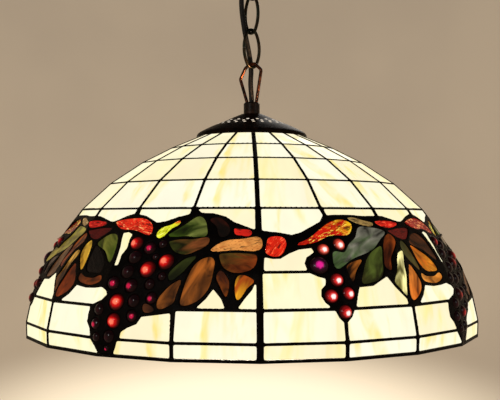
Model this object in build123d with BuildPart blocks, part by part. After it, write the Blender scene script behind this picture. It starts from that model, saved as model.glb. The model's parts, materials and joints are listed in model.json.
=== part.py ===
"""Pool table lamp: a leaded glass dome with a grape and vine border, lit from
inside by a cluster of bulbs and hung on an oval link chain under a canopy.

Millimetres, +Z up. The origin is the centre of the canopy's top face, where it
meets the ceiling, so everything hangs below zero. The shade is a polygon of
20 sides whose first column, a seam, faces -Y. Its border repeats every 90
degrees, and each of the four sections is joined to the next at a seam.
"""
import math
import os

from build123d import *

os.makedirs("parts", exist_ok=True)

# ---------------------------------------------------------------- driving sizes
RIM_DROP = 488.0           # ceiling to the shade's rim
SIDES = 20                 # columns of glass round the shade
SECTIONS = 4               # repeats of the border
STEP = 360 / SIDES
PER_SECTION = SIDES // SECTIONS
# the shade's profile: (radius at a column, height above the rim) at each bend
DOME = [(52, 222.5), (95.5, 204), (128.5, 187), (164.5, 163), (195.5, 134.5),
        (217.5, 105.5), (236.5, 74), (248.5, 43.5), (254.5, 14.5), (254, 0)]
CAP_EDGE_DOWN = -14.1      # where the glass starts, measured from the cap's edge
GLASS = 3.0                # thickness of a piece of glass
CAME = 4.6                 # thickness of the leading
ROW_LEAD = 2.2             # width of a lead line along a row
COLUMN_LEAD = 2.8          # down a column
SEAM_LEAD = 4.6            # down a seam between two sections
LEAF_GROWTH = 0.6          # how far a leaf's glass reaches outside its drawn outline

CHAIN_WIRE = 3.8           # diameter of the wire of the links and loops
LINK_LENGTH = 48.0         # outside length of a link
LINK_WIDTH = 27.0          # outside width of a link
LINK_END = 8.0             # centreline radius of a link's ends
LINK_BUTT = 0.5            # gap where a link's wire ends meet
SLACK = 0.12               # air between two links that hang on each other
FIRST_PLANE = 38.3         # heading of the canopy loop's link, in degrees from +X
BAIL_TOP = 307.0           # height of the shade's wire bail above the rim
CORD = 5.8                 # diameter of the lamp cord

THREAD = 4.85              # radius of the threaded tubes (M10)
THREAD_BORE = 3.6          # radius of the passage through them
FIT = 0.05                 # radial play of a screwed or seated piece


def z_at(height):
    """A height above the rim, as a Z in the lamp's frame."""
    return height - RIM_DROP


# ------------------------------------------------------- places on the shade
def profile(down):
    """(radius, height) on the dome at a distance down it from the cap's edge."""
    left = down - CAP_EDGE_DOWN
    for (r0, h0), (r1, h1) in zip(DOME, DOME[1:]):
        length = math.hypot(r1 - r0, h1 - h0)
        if left <= length or (r1, h1) == DOME[-1]:
            t = left / length
            return r0 + (r1 - r0) * t, h0 + (h1 - h0) * t
        left -= length


def row_down(row):
    """Distance down the dome to one of its bends."""
    lengths = [math.dist(a, b) for a, b in zip(DOME[:row], DOME[1:row + 1])]
    return CAP_EDGE_DOWN + sum(lengths)


def on_dome(turn, down):
    """The point at an angle from the seam, in degrees, and a distance down."""
    radius, height = profile(down)
    column = math.floor(turn / STEP)
    share = turn / STEP - column
    a, b = (math.radians((column + i) * STEP) for i in (0, 1))
    x = radius * (math.sin(a) * (1 - share) + math.sin(b) * share)
    y = -radius * (math.cos(a) * (1 - share) + math.cos(b) * share)
    return Vector(x, y, z_at(height))


def tile_plane(outline):
    """The flat plane that fits an outline on the dome, facing outwards."""
    corners = [on_dome(*p) for p in outline]
    middle = sum(corners, Vector()) / len(corners)
    normal = Vector()
    for p, q in zip(corners, corners[1:] + corners[:1]):
        normal += (p - middle).cross(q - middle)
    if normal.dot(Vector(middle.X, middle.Y, 0)) < 0:
        normal = -normal
    across = Vector(0, 0, 1).cross(normal)
    return Plane(origin=middle, x_dir=across, z_dir=normal)


def tile_points(outline, plane):
    """The outline's points, dropped square onto its plane."""
    places = [plane.to_local_coords(on_dome(*p)) for p in outline]
    return [(p.X, p.Y) for p in places]


def grown(outline):
    """A rounded piece's outline, each point moved away from its middle."""
    turn = sum(p[0] for p in outline) / len(outline)
    down = sum(p[1] for p in outline) / len(outline)
    degree = math.radians(1) * profile(down)[0]
    shares = [1 + LEAF_GROWTH / math.hypot((p[0] - turn) * degree, p[1] - down)
              for p in outline]
    return [(turn + (p[0] - turn) * share, down + (p[1] - down) * share)
            for p, share in zip(outline, shares)]


def tile(outline, curved, inside, outside):
    """Adds one piece of glass, or its opening, to the part being built."""
    if curved:
        outline = grown(outline)
    plane = tile_plane(outline)
    points = tile_points(outline, plane)
    with BuildSketch(plane.offset(-inside)) as shape:
        with BuildLine():
            if curved:
                Spline(*points, periodic=True)
            else:
                Polyline(*points, close=True)
        make_face()
    extrude(shape.sketch, amount=inside + outside)


def pane(column, top, bottom, top_lead=ROW_LEAD, bottom_lead=ROW_LEAD):
    """Outline of the pane of one column between two distances down the dome."""
    outline = []
    for down, side in ((top + top_lead / 2, 0), (top + top_lead / 2, 1),
                       (bottom - bottom_lead / 2, 1), (bottom - bottom_lead / 2, 0)):
        seam = (column + side) % PER_SECTION == 0
        lead = SEAM_LEAD if seam else COLUMN_LEAD
        inset = math.degrees(lead / 2 / profile(down)[0])
        outline.append(((column + side) * STEP + (inset, -inset)[side], down))
    return outline


# --------------------------------------------------------- the border's drawing
# Each outline is (degrees from the seam, distance down the dome) within one
# section. A leaf, a twig or a berry is rounded; background panes have corners.
LEAVES = {
    "green": [
        [(17.6, 211), (18.2, 223.5), (21.3, 217), (25, 210.5), (30, 203), (33.4, 192.5),
         (35.6, 184.5), (33.8, 181), (30.9, 179.4), (28, 179.6), (25.9, 190.5),
         (23, 199), (20.8, 206.6)],
        [(67.4, 187.2), (69.6, 179.5), (71.8, 171.5), (74.2, 166), (75.6, 170),
         (76.6, 179), (76.9, 187), (72.5, 188.6)],
        [(44.4, 197), (46.5, 190.4), (49, 187.6), (51, 191), (52.1, 200), (52.6, 210),
         (52.4, 218), (50.2, 211.5), (47.2, 203.8)],
    ],
    "olive": [
        [(31.8, 201.8), (28.6, 208.8), (26.8, 216), (25.2, 226), (24, 238.4),
         (26.6, 237.8), (29.3, 233.6), (30.4, 227), (31.2, 216)],
        [(68, 195.4), (70.4, 192.6), (74.4, 192), (77.8, 192.8), (77.6, 197), (75.4, 203.6),
         (72.6, 208), (69.8, 205.2), (68.4, 200.4)],
        [(38.1, 207.8), (36.3, 212.4), (35.2, 221), (34, 231), (32.9, 238.6),
         (33.9, 245.6), (35, 252), (35.8, 244), (36.9, 232), (37.7, 219)],
        [(75, 211.4), (72.8, 213.4), (70.8, 221.4), (69.6, 231), (70, 234.6),
         (71.8, 231), (73.2, 224), (74.4, 217)],
    ],
    "brown": [
        [(25.2, 215), (22.4, 218), (20.6, 223.4), (20.8, 230), (21.3, 236.5),
         (22.3, 230), (23.7, 222.4)],
        [(36.5, 187.6), (34.4, 194), (33, 205), (32, 215), (31.6, 223.5), (32.5, 226.5),
         (33.7, 217), (35.2, 208), (37.2, 200.6), (38, 194)],
        [(78.4, 212), (75.8, 217.4), (74.6, 226), (73.8, 238), (73.3, 250), (73.4, 257.2),
         (75.6, 256.2), (78, 247.8), (79.2, 237), (79.6, 224), (79.4, 214)],
        [(72.4, 235), (70.5, 240), (69, 247), (67.9, 256), (68.2, 261.2), (70.2, 259.8),
         (71.6, 255.4), (72.2, 245)],
        [(81.2, 208), (84.2, 207.4), (87.6, 208), (89.2, 209.4), (89.3, 216),
         (88.4, 222.4), (86.6, 225.8), (84.2, 226.4), (82.2, 222), (81.2, 215)],
        [(81, 226.6), (80.6, 231), (81.5, 239.6), (82.9, 249), (83.2, 244),
         (83.2, 236), (82.6, 230.6)],
        [(77.6, 168.6), (79.6, 168), (81.4, 172.8), (82.6, 180.6), (82.3, 187),
         (80.8, 189.4), (79.9, 185.5), (79.1, 177)],
        [(64.6, 259.4), (66.4, 260.6), (67.1, 263.4), (66, 265.4), (64.8, 264.4)],
    ],
    "amber": [
        [(39.1, 223.2), (38, 231), (37, 241), (36.2, 250), (36.4, 256.4), (38.4, 254.8),
         (40.3, 249.6), (41.5, 242.2), (41.2, 235), (40.4, 228.6)],
        [(40.6, 196.2), (39.5, 203), (39.7, 212), (41, 220.4), (42.8, 228), (43, 219),
         (42.5, 208), (41.9, 200)],
        [(43.9, 202.6), (43.9, 212), (44.3, 222.6), (45.3, 228.4), (47.8, 230.2),
         (50.4, 228.6), (50.2, 222), (48.4, 213), (46.2, 206.4)],
        [(43, 233.2), (43, 237.6), (45, 241.2), (47.8, 242.2), (50.2, 240.2), (51.4, 236),
         (51, 233.4), (48.8, 235.2), (46.2, 235.8), (44.4, 234.2)],
        [(88.3, 233.2), (85, 233.4), (84.8, 240), (84.9, 247), (85.3, 252),
         (86.6, 246), (87.8, 239.4)],
    ],
}
TWIGS = {
    "red": [
        [(2.7, 190.8), (4.6, 189.6), (6.2, 191.6), (6.6, 197), (6, 203.6), (5, 209),
         (3.2, 209.8), (1.8, 206.6), (2, 198.6)],
        [(9.8, 198.2), (12.8, 191.4), (15.6, 182.8), (18.4, 174.8), (21.2, 170.4),
         (24.2, 170.8), (25.8, 175.6), (25.2, 182), (23.8, 187.2), (20.6, 188),
         (17.4, 189.4), (13.4, 196.4)],
        [(34.4, 172.4), (37.2, 170.9), (40.2, 171.9), (43.2, 175), (41.2, 178),
         (38, 179.2), (35.6, 177.6)],
        [(37.4, 183.4), (41, 181.8), (44.4, 180.4), (46.8, 181.6), (45.4, 187.4),
         (43, 193.2), (40.8, 192.4), (38.6, 188)],
        [(48.2, 173), (50.4, 170), (53.2, 167.8), (56, 167.8), (58.4, 170.2), (60.4, 175.4),
         (61.3, 182), (61.2, 187.2), (59.4, 186.6), (57, 182.8), (53.4, 181.6),
         (50.6, 180.4)],
        [(84.2, 180), (85.8, 181.4), (88.2, 184.4), (88, 187.4), (85.4, 187.4),
         (84.3, 186)],
    ],
    "yellow": [
        [(26, 167.6), (28.4, 168), (30.8, 171.2), (33.2, 175), (32.6, 177), (29.8, 176),
         (27.4, 173)],
        [(63.6, 182.4), (64.6, 178.8), (66.6, 176), (68.8, 171.8), (69, 174), (67.4, 179.4),
         (66, 186), (64.9, 190.8), (63.8, 190.4)],
        [(78.9, 202.4), (80.6, 196.8), (82.8, 193.4), (86.4, 192), (90.4, 191.4),
         (90.8, 196), (90.2, 202.6), (88, 204.4), (83.8, 203.6)],
    ],
}
# background panes round the border, between the lattice of the upper rows and
# the skirt, and the first panes of the skirt and the rim that the grapes cut into
BACKGROUND = [
    [(0.9, 157), (17.5, 157), (18, 164.5), (16.6, 172), (13.6, 178.6), (10.8, 184.6),
     (8.4, 187.6), (5.6, 185), (3.4, 184), (0.9, 182.4)],
    [(18.9, 157), (35.4, 157), (35.4, 165), (31, 165.2), (26.6, 163.6), (21.6, 163.6),
     (19.1, 164.6)],
    [(36.6, 157), (53.4, 157), (53.3, 162), (50.4, 165.2), (47.4, 170.2), (45.8, 172.2),
     (44, 171.4), (41, 168.2), (38.6, 165.6), (36.6, 165)],
    [(54.8, 157), (71.4, 157), (71.2, 163), (67.8, 166.6), (64.6, 171.4), (62, 173.4),
     (59.8, 169), (57.6, 165), (55, 163)],
    [(73, 157), (89.2, 157), (89.2, 181.6), (86.6, 177), (83.8, 172.6), (81.2, 165.6),
     (77.8, 162), (74.6, 161.4)],
    [(1.2, 211.4), (3.2, 213.2), (5, 213), (7.2, 207.6), (9.6, 203.6), (12.8, 202),
     (13.2, 206.4), (11.2, 211.6), (10.5, 218), (10.9, 225.2), (1, 225.2)],
    [(0.7, 228), (11.4, 228), (13.2, 231.6), (14.8, 233.4), (14.6, 239), (13.5, 243.6),
     (13.3, 250), (14, 256), (15.2, 260.9), (0.7, 260.9)],
    [(21, 260.9), (21.6, 254), (22.4, 246), (22.8, 242.6), (26.6, 241.8), (30.9, 233.2),
     (32.4, 243.4), (34.8, 256), (34.8, 260.9)],
    [(38.8, 260.9), (41.2, 253.6), (43, 244.2), (46.6, 246), (50, 245.4), (52.4, 244),
     (54.2, 247), (54.8, 251), (53.8, 256), (51, 260.9)],
    [(52.9, 186.4), (54.4, 184.8), (56, 187.6), (55.8, 194), (56, 203), (55.2, 210.5),
     (55.3, 221.5), (54.4, 222), (54.2, 212), (53.8, 201), (53.2, 193)],
    [(80, 243), (81.8, 252), (82.7, 260.9), (76.6, 260.9), (78.6, 252)],
    [(89.3, 235), (89.3, 260.9), (85.4, 260.9), (86.8, 252), (88.5, 243)],
]
SKIRT = [
    [(0.7, 263.6), (16, 263.6), (16.7, 270), (17.6, 274.2), (17.6, 290.6), (0.7, 290.6)],
    [(20.4, 263.6), (35.6, 263.6), (35.6, 290.6), (18.4, 290.6), (18.4, 274.2),
     (19.6, 270)],
    [(36.4, 263.6), (50.3, 263.6), (50, 270), (50, 278), (51.2, 284), (51.8, 290.6),
     (36.4, 290.6)],
    [(64.4, 270.2), (67.8, 268), (71.3, 265.6), (71.6, 290.6), (59.6, 290.6),
     (59.8, 285), (61.2, 281), (63.4, 277)],
    [(72.4, 263.6), (89.3, 263.6), (89.3, 290.6), (72.4, 290.6)],
]
RIM_PANES = [
    [(0.7, 293.2), (17.6, 293.2), (17.6, 305.2), (0.7, 305.2)],
    [(18.4, 293.2), (35.6, 293.2), (35.6, 305.2), (18.4, 305.2)],
    [(36.4, 293.2), (52, 293.2), (53.2, 299), (54.4, 305.2), (36.4, 305.2)],
    [(59, 293.2), (71.6, 293.2), (71.6, 305.2), (58, 305.2), (58.6, 299)],
    [(72.4, 293.2), (89.3, 293.2), (89.3, 305.2), (72.4, 305.2)],
]
# grapes, each a domed jewel: (degrees, distance down, radius)
GRAPES = {
    "red": [
        (15.7, 203.4, 5.8), (20.1, 198.2, 6.2), (17.4, 234.6, 6.2), (15.6, 250, 6.4),
        (19.6, 247.8, 6.2), (18.2, 264.6, 6.2), (58.3, 197.4, 6.8), (68.1, 216.6, 8),
        (63.7, 224.8, 8.2), (57.6, 257.6, 7.8), (57.6, 275, 7),
    ],
    "dark": [
        (13.9, 219.8, 9.2), (62.6, 202.6, 6.6), (65.9, 197.8, 4.6), (59.2, 212.4, 7),
        (64.9, 211.6, 3.6), (58.6, 228, 6.6), (55.6, 239.4, 6.4), (60.4, 241.4, 6.6),
        (65.1, 239.4, 5.2), (67.9, 231.4, 4.2), (66.2, 252.6, 5.6), (61.9, 255.8, 6.2),
        (53.4, 265.2, 5.8), (62, 269.8, 5.6), (53, 278.6, 5.6), (56.9, 289.6, 5.8),
        (53.8, 290.8, 4.2), (56.4, 300.2, 2.8),
    ],
}
GRAPE_RISE = 0.55          # height of a grape's dome, as a share of its radius


def grape_plane(turn, down):
    """The plane that a grape is set in, square to the dome."""
    around = [(turn - 1, down), (turn, down - 4), (turn + 1, down), (turn, down + 4)]
    return Plane(origin=on_dome(turn, down), x_dir=tile_plane(around).x_dir,
                 z_dir=tile_plane(around).z_dir)


def every_section(section):
    """Adds a section's pieces to the part being built, once for each section."""
    with PolarLocations(0, SECTIONS):
        add(section)


def finish(piece, name):
    """Names a finished sub-part and writes its file."""
    piece.part.label = name
    export_step(piece.part, f"parts/{name}.step")


# ------------------------------------------------------------------ glass panes
for row in range(4):
    with BuildPart() as row_section:
        for column in range(PER_SECTION):
            top = row_down(row)
            lead = ROW_LEAD if row else 2 * ROW_LEAD
            tile(pane(column, top, row_down(row + 1), top_lead=lead), False,
                 GLASS / 2, GLASS / 2)
    with BuildPart() as row_glass:
        every_section(row_section.part)
    finish(row_glass, f"row_{row + 1}_glass")


def glass_node(outlines, curved, name):
    """Makes one node of glass: these outlines in every section."""
    with BuildPart() as section:
        for outline in outlines:
            tile(outline, curved, GLASS / 2, GLASS / 2)
    with BuildPart() as glass:
        every_section(section.part)
    finish(glass, name)


glass_node(BACKGROUND, False, "background_glass")
glass_node(SKIRT, False, "skirt_glass")
glass_node(RIM_PANES, False, "rim_glass")
for tint, outlines in LEAVES.items():
    glass_node(outlines, True, f"leaf_glass_{tint}")
for tint, outlines in TWIGS.items():
    glass_node(outlines, True, f"twig_glass_{tint}")

for tint, grapes in GRAPES.items():
    with BuildPart() as bunch:
        for turn, down, radius in grapes:
            setting = grape_plane(turn, down)
            rise = GRAPE_RISE * radius
            ball = (radius ** 2 + rise ** 2) / (2 * rise)
            half_arc = math.asin(radius / ball) / 2
            crown = GLASS / 2 + rise - ball
            with BuildSketch(Plane(origin=setting.origin, x_dir=setting.x_dir,
                                   z_dir=-setting.y_dir)):
                with BuildLine():
                    flat = Polyline((0, GLASS / 2), (0, -GLASS / 2),
                                    (radius, -GLASS / 2), (radius, GLASS / 2))
                    ThreePointArc(flat @ 1, (ball * math.sin(half_arc),
                                             crown + ball * math.cos(half_arc)),
                                  (0, GLASS / 2 + rise))
                    Line((0, GLASS / 2 + rise), flat @ 0)
                make_face()
            revolve(axis=Axis(setting.origin, setting.z_dir))
    with BuildPart() as grape_glass:
        every_section(bunch.part)
    finish(grape_glass, f"grapes_{tint}")

# ---------------------------------------------------------------------- leading
with BuildPart() as facet:
    # the band of one column: the profile at the middle of a side, made thick,
    # drawn out sideways and mitred to the two columns beside it
    flat_share = math.cos(math.radians(STEP / 2))
    middle = Plane.XZ.rotated((0, 0, STEP / 2 - 90))
    with BuildSketch(middle) as band:
        with BuildLine():
            Polyline(*[(r * flat_share, z_at(h)) for r, h in DOME])
        trace(line_width=CAME)
    extrude(amount=DOME[-1][0] * math.sin(math.radians(STEP / 2)) + CAME, both=True)
    with BuildSketch(Plane.XY.offset(z_at(-CAME))):
        with BuildLine():
            reach = 1.2 * DOME[-1][0]
            edge = [(reach * math.sin(math.radians(a)), -reach * math.cos(math.radians(a)))
                    for a in (0, STEP)]
            Polyline((0, 0), *edge, close=True)
        make_face()
    extrude(amount=DOME[0][1] + 3 * CAME, mode=Mode.INTERSECT)

OPENING = 9.0              # how far an opening's cutter reaches each side
SEAM_JOINT = 0.01          # half the joint between two sections' leading

with BuildPart() as lattice:
    for column in range(PER_SECTION):
        add(facet.part.rotate(Axis.Z, column * STEP))
    with BuildSketch(Plane.XY.offset(z_at(-CAME))):
        Rectangle(2 * reach, 2 * reach)
        with Locations((reach + SEAM_JOINT, -reach - SEAM_JOINT)):
            Rectangle(2 * reach, 2 * reach, mode=Mode.SUBTRACT)
    extrude(amount=DOME[0][1] + 3 * CAME, mode=Mode.SUBTRACT)
    lattice_openings = [
        (pane(column, row_down(row), row_down(row + 1), top_lead=ROW_LEAD * (1 if row else 2)),
         False) for row in range(4) for column in range(PER_SECTION)]
    lattice_openings += [(outline, False) for outline in BACKGROUND + SKIRT + RIM_PANES]
    for outlines in [*LEAVES.values(), *TWIGS.values()]:
        lattice_openings += [(outline, True) for outline in outlines]
    # a twig that crosses the seam opens the next section's leading too
    lattice_openings += [([(turn - 90, down) for turn, down in outline], True)
                         for outline in TWIGS["yellow"] if max(outline)[0] > 90]
    for outline, curved in lattice_openings:
        with BuildPart(mode=Mode.PRIVATE) as opening:
            tile(outline, curved, OPENING, OPENING)
        add(opening.part, mode=Mode.SUBTRACT)
    for turn, down, radius in [*GRAPES["red"], *GRAPES["dark"]]:
        setting = grape_plane(turn, down)
        with BuildSketch(setting.offset(-OPENING)):
            Circle(radius + FIT)
        extrude(amount=2 * OPENING, mode=Mode.SUBTRACT)
with BuildPart() as leading:
    every_section(lattice.part)
print("leading solids", len(leading.part.solids()), "volume", round(leading.part.volume))
finish(leading, "lead_lattice")

# the brass channel that the rim's panes stand in
RIM_CHANNEL_HIGH = 2.6
RIM_JOINT = 0.2            # solder between the channel and the leading above it
with BuildPart() as rim_channel:
    with BuildSketch(Plane.XY.offset(z_at(-RIM_CHANNEL_HIGH - RIM_JOINT))):
        RegularPolygon(DOME[-1][0] + CAME / 2, SIDES, rotation=-90)
        RegularPolygon(DOME[-1][0] - CAME / 2, SIDES, rotation=-90, mode=Mode.SUBTRACT)
    extrude(amount=RIM_CHANNEL_HIGH)
finish(rim_channel, "rim_channel")

# the ring at the shade's mouth, which the spider carries
MOUTH = DOME[0]
RING_WALL = 3.0
with BuildPart() as mouth_ring:
    with BuildSketch(Plane.XY.offset(z_at(MOUTH[1] - 7))):
        Circle(MOUTH[0] - CAME - 1)
        Circle(MOUTH[0] - CAME - 1 - RING_WALL, mode=Mode.SUBTRACT)
    extrude(amount=7 + CAME)
    with BuildSketch(Plane.XY.offset(z_at(MOUTH[1] + CAME / 2))):
        Circle(MOUTH[0] + 1)
        Circle(MOUTH[0] - CAME - 1 - RING_WALL, mode=Mode.SUBTRACT)
    extrude(amount=CAME / 2)
finish(mouth_ring, "mouth_ring")

SPIDER_THICK = 2.5
spider_z = z_at(MOUTH[1] - 7) - SPIDER_THICK
with BuildPart() as spider:
    with BuildSketch(Plane.XY.offset(spider_z)):
        Circle(MOUTH[0] - CAME - 1)
        Circle(MOUTH[0] - CAME - 1 - 2 * RING_WALL, mode=Mode.SUBTRACT)
        Circle(14)
        with PolarLocations(0, 3):
            with Locations((MOUTH[0] / 2 - 3, 0)):
                Rectangle(MOUTH[0] - 14, 9)
        Circle(THREAD + FIT, mode=Mode.SUBTRACT)
    extrude(amount=SPIDER_THICK)
finish(spider, "spider")

# ------------------------------------------------------------------ vented cap
CAP_EDGE = 64.5            # radius of the cap's lower edge
CAP_TOP = 247.6            # height of its flat top above the rim
CAP_WALL = 1.2
CAP_LINE = [(CAP_EDGE, 220.4), (CAP_EDGE - 0.6, 223), (58, 227.6), (46, 233.4),
            (32.8, 238.8), (21, 244), (12.5, CAP_TOP)]
VENT_RINGS = [(31.5, 18), (36.5, 22), (41.5, 26)]
VENT_RADIUS = 1.7
with BuildPart() as cap:
    with BuildSketch(Plane.XZ):
        with BuildLine():
            outer = [(r, z_at(h)) for r, h in CAP_LINE]
            inner = [(r - CAP_WALL * 0.45, z - CAP_WALL) for r, z in outer[1:]]
            rim = Line(outer[0], (CAP_EDGE - CAP_WALL, outer[0][1]))
            Line(rim @ 1, inner[0])
            Spline(*inner)
            Polyline(inner[-1], (THREAD + FIT, z_at(CAP_TOP) - CAP_WALL),
                     (THREAD + FIT, z_at(CAP_TOP)), outer[-1])
            Spline(*outer[::-1])
        make_face()
    revolve(axis=Axis.Z)
    for ring, count in VENT_RINGS:
        with BuildSketch(Plane.XY.offset(z_at(CAP_TOP))):
            with PolarLocations(ring, count, start_angle=180 * (ring > 35) / 22):
                Circle(VENT_RADIUS)
        extrude(amount=-(CAP_TOP - CAP_LINE[0][1]), mode=Mode.SUBTRACT)
finish(cap, "vented_cap")

# --------------------------------------------------- collar and wire bail on top
COLLAR_RADIUS = 9.4
COLLAR_HIGH = 14.0
BAIL_PLANE = -31.7         # heading of the bail's plane, in degrees from +X
BAIL_FOOT = 6.4            # its legs, off the axis
FOOT_DEEP = 8.0            # how far they go down into the collar
collar_z = z_at(CAP_TOP)
collar_top = collar_z + COLLAR_HIGH
bail_plane = Plane(origin=(0, 0, 0), x_dir=(math.cos(math.radians(BAIL_PLANE)),
                                           math.sin(math.radians(BAIL_PLANE)), 0),
                   z_dir=(math.sin(math.radians(BAIL_PLANE)),
                          -math.cos(math.radians(BAIL_PLANE)), 0))
bail_line = [(-BAIL_FOOT, collar_top - FOOT_DEEP), (-BAIL_FOOT, collar_top + 1),
             (-15.4, z_at(290)), (-9, z_at(302)), (-3.2, z_at(BAIL_TOP)),
             (4.2, z_at(BAIL_TOP)), (12.8, z_at(299.4)), (BAIL_FOOT, collar_top + 1),
             (BAIL_FOOT, collar_top - FOOT_DEEP)]
with BuildPart() as bail:
    with BuildLine(bail_plane) as bail_path:
        FilletPolyline(*bail_line, radius=[6, 3.4, 5, 4, 4, 4, 6])
    with BuildSketch(Plane(origin=bail_path.line @ 0, z_dir=bail_path.line % 0)):
        Circle(CHAIN_WIRE / 2)
    sweep()
finish(bail, "wire_bail")

with BuildPart() as collar:
    with BuildSketch(Plane.XY.offset(collar_z)):
        Circle(COLLAR_RADIUS)
    extrude(amount=COLLAR_HIGH)
    chamfer(collar.edges().group_by(Axis.Z)[-1], 1.6)
    with BuildSketch(Plane.XY.offset(collar_z)):
        Circle(THREAD + FIT)
    extrude(amount=5, mode=Mode.SUBTRACT)
    with BuildSketch(Plane.XY.offset(collar_z)):
        Circle(THREAD_BORE)
    extrude(amount=COLLAR_HIGH, mode=Mode.SUBTRACT)
    for side in (-1, 1):
        foot = bail_plane.from_local_coords((side * BAIL_FOOT, 0, 0))
        with BuildSketch(Plane(origin=(foot.X, foot.Y, collar_top))):
            Circle(CHAIN_WIRE / 2 + FIT)
        extrude(amount=-FOOT_DEEP, mode=Mode.SUBTRACT)
finish(collar, "loop_collar")

# ------------------------------------------------------------------------ chain
link_half = (LINK_LENGTH - CHAIN_WIRE) / 2
link_side = (LINK_WIDTH - CHAIN_WIRE) / 2
link_bow = ((link_half - LINK_END) ** 2 + link_side ** 2 - LINK_END ** 2) \
    / (2 * (link_side - LINK_END))    # radius of its long sides
hang = CHAIN_WIRE + SLACK             # between two wires' centres at a contact


def chain_link(middle_z, heading):
    """Adds one oval link, its wire ends meeting halfway down one side."""
    turn = math.radians(heading)
    across = Vector(math.cos(turn), math.sin(turn), 0)
    plane = Plane(origin=(0, 0, middle_z), x_dir=across, z_dir=across.cross(Vector(0, 0, 1)))
    centre = link_bow - link_side
    lean = math.degrees(math.atan2(link_half - LINK_END, centre))
    butt = math.degrees(LINK_BUTT / 2 / link_bow)
    with BuildLine(plane) as path:
        CenterArc((centre, 0), link_bow, 180 + butt, lean - butt)
        CenterArc((0, LINK_END - link_half), LINK_END, 180 + lean, 180 - 2 * lean)
        CenterArc((-centre, 0), link_bow, -lean, 2 * lean)
        CenterArc((0, link_half - LINK_END), LINK_END, lean, 180 - 2 * lean)
        CenterArc((centre, 0), link_bow, 180 - lean, lean - butt)
    wire = path.wires()[0]
    with BuildSketch(Plane(origin=wire @ 0, z_dir=wire % 0)) as section:
        Circle(CHAIN_WIRE / 2)
    sweep(section.sketch, path=wire)


# a link's lowest wire carries the top wire of the link below it
pivots = [z_at(BAIL_TOP) - hang]
link_middles = []
for _ in range(3):
    link_middles.append(pivots[-1] + link_half)
    pivots.append(link_middles[-1] + link_half - hang)
lower_pivot, middle_pivot, upper_pivot, top_pivot = pivots
for name, middle_z, heading in zip(("link_lower", "link_middle", "link_upper"),
                                   link_middles,
                                   (FIRST_PLANE, FIRST_PLANE - 90, FIRST_PLANE)):
    with BuildPart() as link:
        chain_link(middle_z, heading)
    finish(link, name)
print("pivots", [round(z, 3) for z in pivots])

# ------------------------------------------------------- ceiling plate, canopy
CROSSBAR_LONG = 108.0
CROSSBAR_WIDE = 16.0
CROSSBAR_THICK = 2.0
BOX_SCREWS = 88.9          # spacing of a ceiling box's screw holes
SLOT_LONG = 14.0
SLOT_WIDE = 4.8
NUT_ACROSS = 14.0
NUT_HIGH = 4.0
CANOPY_RADIUS = 63.5
CANOPY_DEEP = 26.0
CANOPY_WALL = 1.0
RING_NUT_HIGH = 5.0
LOOP_RING = 12.0           # centreline radius of the canopy loop's ring
STEM_RADIUS = 6.6

with BuildPart() as crossbar:
    with BuildSketch(Plane.XY.offset(-CROSSBAR_THICK)):
        SlotOverall(CROSSBAR_LONG + CROSSBAR_WIDE / 2, CROSSBAR_WIDE)
        Circle(THREAD + FIT, mode=Mode.SUBTRACT)
        with GridLocations(BOX_SCREWS, 0, 2, 1):
            SlotOverall(SLOT_LONG, SLOT_WIDE, mode=Mode.SUBTRACT)
    extrude(amount=CROSSBAR_THICK)
finish(crossbar, "crossbar")

ring_z = top_pivot + LOOP_RING                    # centre of the loop's ring
canopy_z = -CANOPY_DEEP
stem_top = canopy_z - RING_NUT_HIGH


def threaded_tube(low, high):
    """Adds a hollow threaded tube on the axis, its ends chamfered."""
    with BuildSketch(Plane.XY.offset(low)) as section:
        Circle(THREAD)
        Circle(THREAD_BORE, mode=Mode.SUBTRACT)
    extrude(section.sketch, amount=high - low)


def hex_nuts(levels):
    """Adds a hexagon nut on the axis at each of these heights."""
    for low in levels:
        with BuildSketch(Plane.XY.offset(low)) as section:
            RegularPolygon(NUT_ACROSS / 2, 6, major_radius=False)
            Circle(THREAD + FIT, mode=Mode.SUBTRACT)
        extrude(section.sketch, amount=NUT_HIGH)


with BuildPart() as canopy_nipple:
    threaded_tube(stem_top - 7, -0.5)
finish(canopy_nipple, "canopy_nipple")

with BuildPart() as canopy_nuts:
    hex_nuts([-CROSSBAR_THICK - NUT_HIGH])
finish(canopy_nuts, "crossbar_nut")

with BuildPart() as canopy:
    with BuildSketch(Plane.XZ):
        with BuildLine():
            lip = Polyline((THREAD + FIT, canopy_z), (14, canopy_z))
            Spline(lip @ 1, (36, canopy_z + 3.4), (54, canopy_z + 11.4),
                   (CANOPY_RADIUS - 2, -4))
            Polyline((CANOPY_RADIUS - 2, -4), (CANOPY_RADIUS, -4), (CANOPY_RADIUS, 0),
                     (CANOPY_RADIUS - 3, 0), (CANOPY_RADIUS - 3, -4))
            Spline((CANOPY_RADIUS - 3, -4), (53.2, canopy_z + 12.2), (35.7, canopy_z + 4.4),
                   (14, canopy_z + CANOPY_WALL))
            Polyline((14, canopy_z + CANOPY_WALL), (THREAD + FIT, canopy_z + CANOPY_WALL),
                     (THREAD + FIT, canopy_z))
        make_face()
    revolve(axis=Axis.Z)
finish(canopy, "canopy")

KNURLS = 28
with BuildPart() as ring_nut:
    with BuildSketch(Plane.XY.offset(canopy_z - RING_NUT_HIGH)):
        Circle(12.5)
        with PolarLocations(12.5, KNURLS):
            Circle(0.6, mode=Mode.SUBTRACT)
        Circle(THREAD + FIT, mode=Mode.SUBTRACT)
    extrude(amount=RING_NUT_HIGH)
finish(ring_nut, "canopy_ring_nut")

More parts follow.
